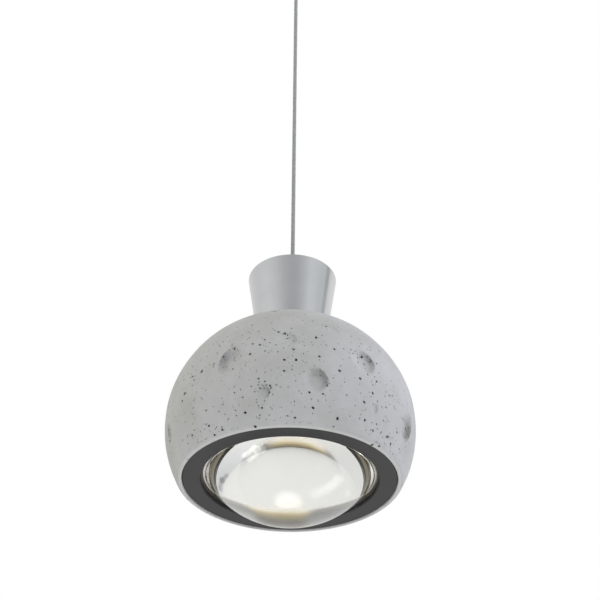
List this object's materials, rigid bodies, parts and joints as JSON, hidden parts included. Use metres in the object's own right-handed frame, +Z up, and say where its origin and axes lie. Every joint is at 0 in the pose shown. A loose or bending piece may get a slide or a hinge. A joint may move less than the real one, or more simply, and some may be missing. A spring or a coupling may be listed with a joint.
{
  "type": "pendant ceiling light",
  "caption": "Ceiling pendant: cratered cast-concrete globe with flared aluminium neck, thick domed glass lens and dark trim ring, hung on a thin braided cord from a round ceiling cup.",
  "frame": {"origin": "on the ceiling, midway between the two fixing slots of the ceiling plate", "axes": "+Z up into the ceiling, and the light hangs along -Z; +X along the line of the two fixing slots; the side that faces the viewer looks along -Y"},
  "size_m": [0.15, 0.15, 0.5428],
  "materials": {
    "concrete": "matte",
    "satin_aluminium": "satin",
    "dark_paint": "matte",
    "lens_glass": "gloss",
    "reflector_white": "gloss",
    "led_phosphor": "matte",
    "board_white": "matte",
    "white_plastic": "matte",
    "cord_braid": "woven",
    "wire_sheath": "matte",
    "zinc_steel": "satin",
    "brass": "satin",
    "rubber": "matte"
  },
  "bodies": {
    "ceiling": {"ceiling_plate": "zinc_steel", "entry_grommet": "rubber", "canopy_cup": "satin_aluminium", "canopy_screws": "zinc_steel", "led_driver": "white_plastic", "driver_screws": "zinc_steel", "terminal_block": "white_plastic", "terminal_screws": "brass", "supply_leads": "wire_sheath", "lamp_leads": "wire_sheath", "swivel_bush": "satin_aluminium", "bush_nut": "zinc_steel"},
    "swivel": {"stop_ball": "zinc_steel"},
    "suspension": {"stop_sleeve": "satin_aluminium", "cord": "cord_braid"},
    "head": {"cord_grip": "satin_aluminium", "grip_screw": "zinc_steel", "neck_cone": "satin_aluminium", "threaded_tube": "brass", "concrete_globe": "concrete", "globe_washer": "zinc_steel", "globe_nut": "brass", "heat_sink": "satin_aluminium", "led_board": "board_white", "led_emitter": "led_phosphor", "led_holder": "white_plastic", "holder_screws": "zinc_steel", "led_leads": "wire_sheath", "lens_barrel": "satin_aluminium", "barrel_screws": "zinc_steel", "reflector": "reflector_white", "lens_gasket": "rubber"},
    "lens": {"glass_lens": "lens_glass"},
    "ring": {"trim_ring": "dark_paint"}
  },
  "joints": [
    {"name": "swing_front_back", "type": "hinge", "parent": "ceiling", "child": "swivel", "pos_m": [0, 0, -0.033], "axis": [1, 0, 0], "range_deg": [-20, 20]},
    {"name": "swing_left_right", "type": "hinge", "parent": "swivel", "child": "suspension", "pos_m": [0, 0, -0.033], "axis": [0, 1, 0], "range_deg": [-20, 20]},
    {"name": "head_turn", "type": "hinge", "parent": "suspension", "child": "head", "pos_m": [0, 0, -0.373], "axis": [0, 0, 1], "range_deg": [-180, 180]},
    {"name": "lens_lower", "type": "slide", "parent": "head", "child": "lens", "axis": [0, 0, -1], "range_m": [0, 0.006]},
    {"name": "ring_unscrew", "type": "hinge", "parent": "lens", "child": "ring", "pos_m": [0, 0, -0.5195], "axis": [0, 0, -1], "range_deg": [0, 1440]}
  ],
  "couplings": [
    {"joint": "lens_lower", "follows": "ring_unscrew", "m_per_rad": 0.00023873}
  ]
}
